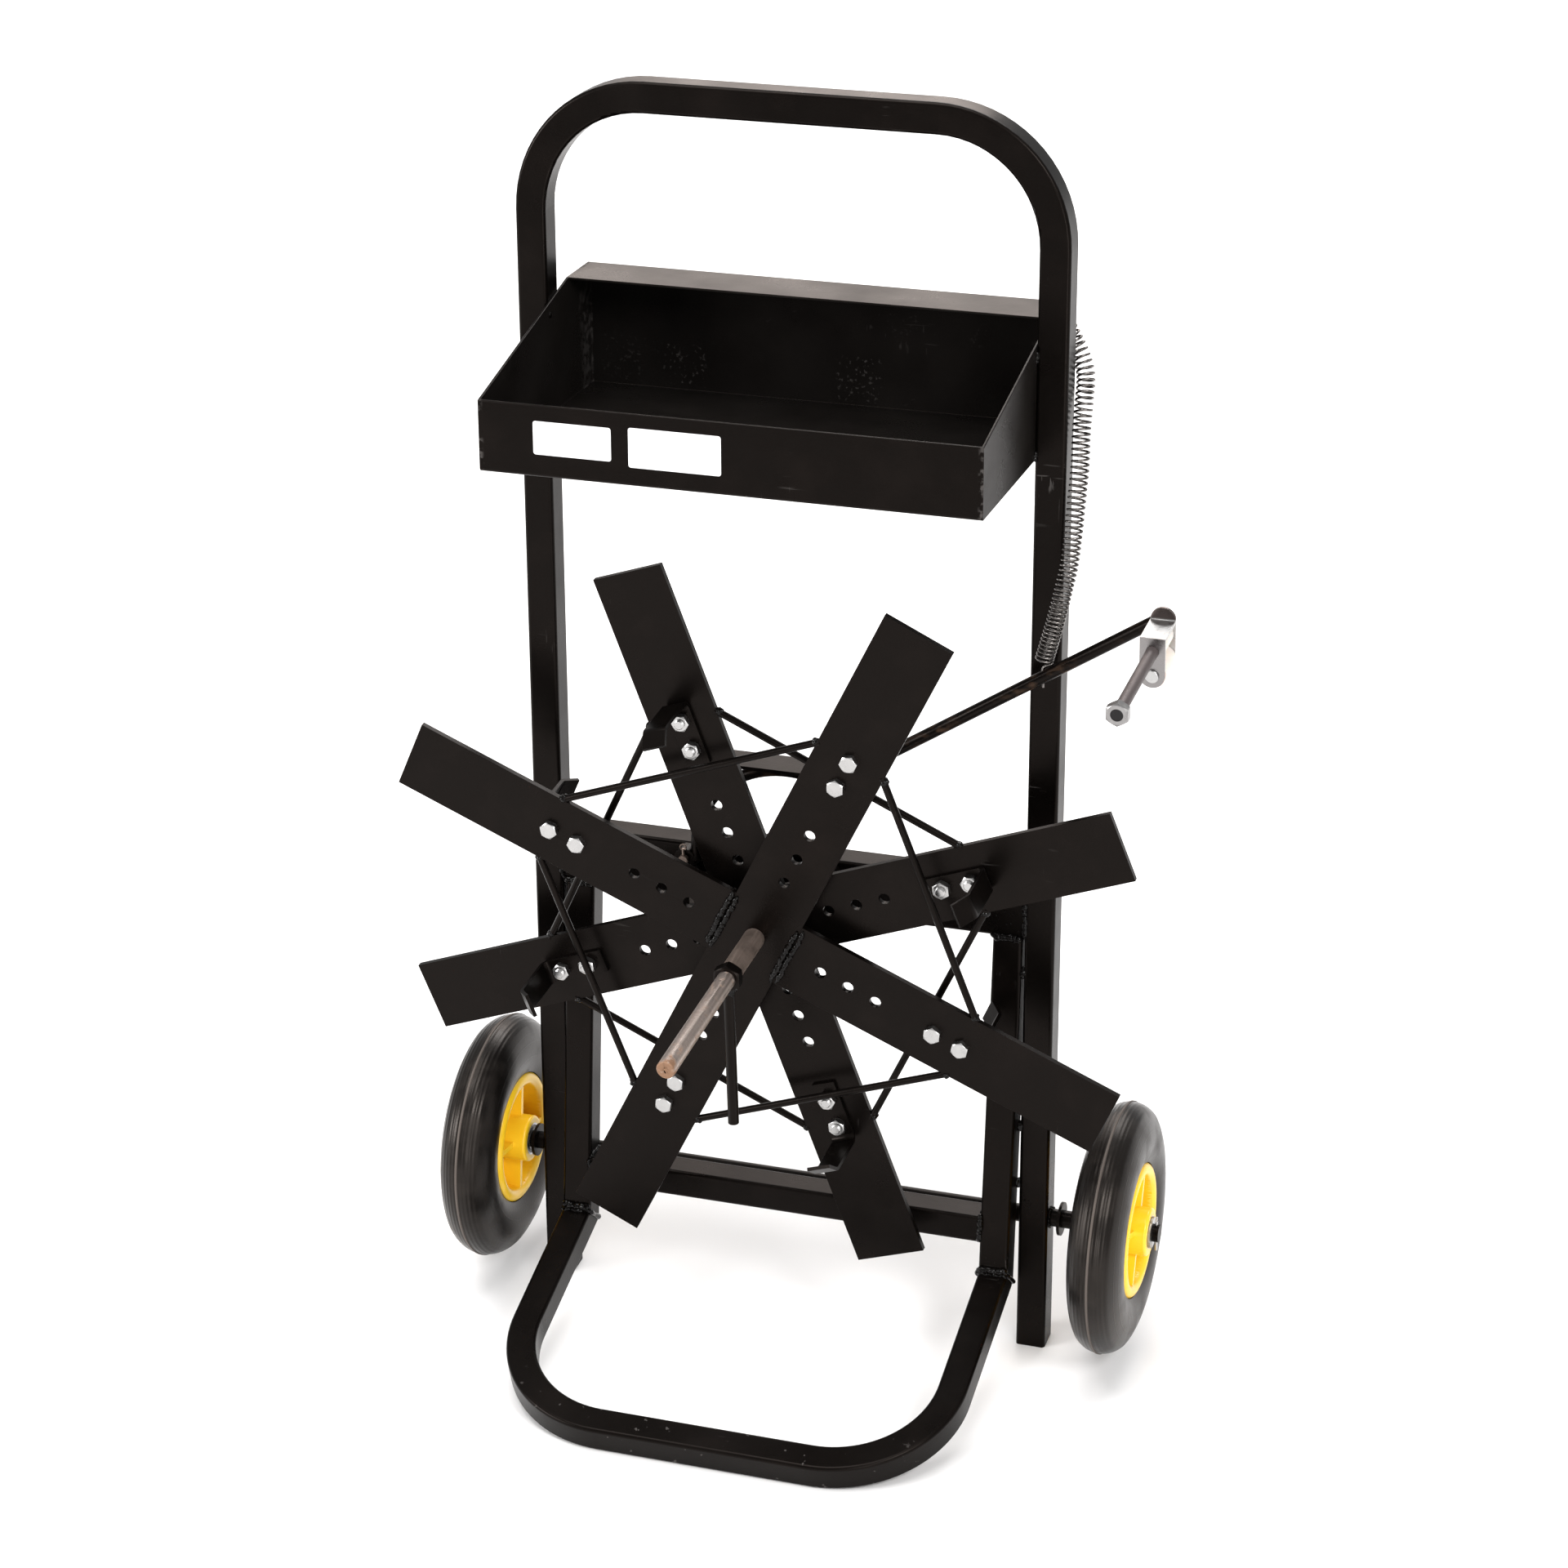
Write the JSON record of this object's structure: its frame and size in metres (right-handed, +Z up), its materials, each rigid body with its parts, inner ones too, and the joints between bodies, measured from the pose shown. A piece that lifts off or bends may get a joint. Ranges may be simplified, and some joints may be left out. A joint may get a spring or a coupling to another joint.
{
  "type": "strapping dispenser cart",
  "caption": "Hand cart of bent square tube on a pair of wheels, with a coil reel on a spindle, a sprung brake arm with strap rollers, and an open tool tray.",
  "frame": {"origin": "on the floor, under the middle of the cart's bounding box", "axes": "+X to the right seen from the front, where the swing arm's rollers are; -Y to the front, where the spindle points; +Z up"},
  "size_m": [0.6421, 0.4369, 1.0548],
  "materials": {
    "black_enamel": "glossy black enamel",
    "zinc_plate": "bright zinc plate",
    "bare_steel": "bare turned steel",
    "spring_steel": "drawn spring wire",
    "bronze": "sintered bronze",
    "friction_lining": "moulded friction lining",
    "tyre_rubber": "moulded black rubber",
    "yellow_plastic": "moulded yellow plastic",
    "white_plastic": "plain white plastic"
  },
  "bodies": {
    "frame": {"main_frame_tube": "black_enamel", "tool_tray": "black_enamel", "left_post": "black_enamel", "right_post": "black_enamel", "foot_loop": "black_enamel", "upper_cross_bar": "black_enamel", "lower_cross_bar": "black_enamel", "wheel_axle": "bare_steel", "axle_stop_washers": "black_enamel", "axle_end_washers": "zinc_plate", "axle_split_pins": "zinc_plate", "spindle_housing": "black_enamel", "spindle_bushes": "bronze", "lever_pivot_pin": "bare_steel", "lever_pivot_split_pin": "zinc_plate", "spring_stud": "black_enamel", "tension_spring": "spring_steel"},
    "left_wheel": {"left_tyre": "tyre_rubber", "left_rim": "yellow_plastic", "left_wheel_bearings": "bare_steel"},
    "right_wheel": {"right_tyre": "tyre_rubber", "right_rim": "yellow_plastic", "right_wheel_bearings": "bare_steel"},
    "reel": {"spindle": "bare_steel", "hub_tube": "black_enamel", "brake_drum": "black_enamel", "retaining_collar": "bare_steel", "collar_set_screw": "zinc_plate", "rear_long_bar": "black_enamel", "rear_half_bars": "black_enamel", "rear_brace_rods": "black_enamel", "rear_core_clips": "black_enamel", "rear_clip_bolts": "zinc_plate", "rear_clip_nuts": "zinc_plate"},
    "front_cross": {"front_long_bar": "black_enamel", "front_half_bars": "black_enamel", "front_brace_rods": "black_enamel", "front_core_clips": "black_enamel", "front_clip_bolts": "zinc_plate", "front_clip_nuts": "zinc_plate", "spacer_sleeve": "bare_steel"},
    "clamp_nut": {"spindle_nut": "black_enamel", "nut_handle_rod": "black_enamel"},
    "swing_arm": {"lever_boss": "black_enamel", "lever_bar": "black_enamel", "lever_strip": "black_enamel", "brake_shoe": "black_enamel", "brake_lining": "friction_lining", "roller_bracket": "zinc_plate", "guide_pin": "black_enamel", "guide_pin_nut": "zinc_plate", "lower_roller_pin": "zinc_plate"},
    "upper_guide_roller": {"upper_roller": "white_plastic"},
    "lower_guide_roller": {"lower_roller": "white_plastic"}
  },
  "joints": [
    {"name": "left_wheel_spin", "type": "hinge", "parent": "frame", "child": "left_wheel", "pos_m": [-0.2685, 0.07979, 0.118], "axis": [1, 0, 0], "continuous": true},
    {"name": "right_wheel_spin", "type": "hinge", "parent": "frame", "child": "right_wheel", "pos_m": [0.2817, 0.07979, 0.118], "axis": [1, 0, 0], "continuous": true},
    {"name": "reel_spin", "type": "hinge", "parent": "frame", "child": "reel", "pos_m": [0, 0.01846, 0.397], "axis": [0, -1, 0], "continuous": true},
    {"name": "front_cross_lift_off", "type": "slide", "parent": "reel", "child": "front_cross", "axis": [0, -1, 0], "range_m": [0, 0.14]},
    {"name": "clamp_nut_turn", "type": "hinge", "parent": "front_cross", "child": "clamp_nut", "pos_m": [0, -0.06954, 0.397], "axis": [0, -1, 0], "continuous": true},
    {"name": "swing_arm_pivot", "type": "hinge", "parent": "frame", "child": "swing_arm", "pos_m": [-0.087, 0.08246, 0.416], "axis": [0, 1, 0], "range_deg": [0, 22], "stiffness_Nm_per_rad": 12, "springref_deg": -28.65, "deforming": ["tension_spring"]},
    {"name": "upper_roller_spin", "type": "hinge", "parent": "swing_arm", "child": "upper_guide_roller", "pos_m": [0.313, 0.05838, 0.66737], "axis": [0, -1, 0], "continuous": true},
    {"name": "lower_roller_spin", "type": "hinge", "parent": "swing_arm", "child": "lower_guide_roller", "pos_m": [0.313, 0.05838, 0.64737], "axis": [0, -1, 0], "continuous": true}
  ]
}
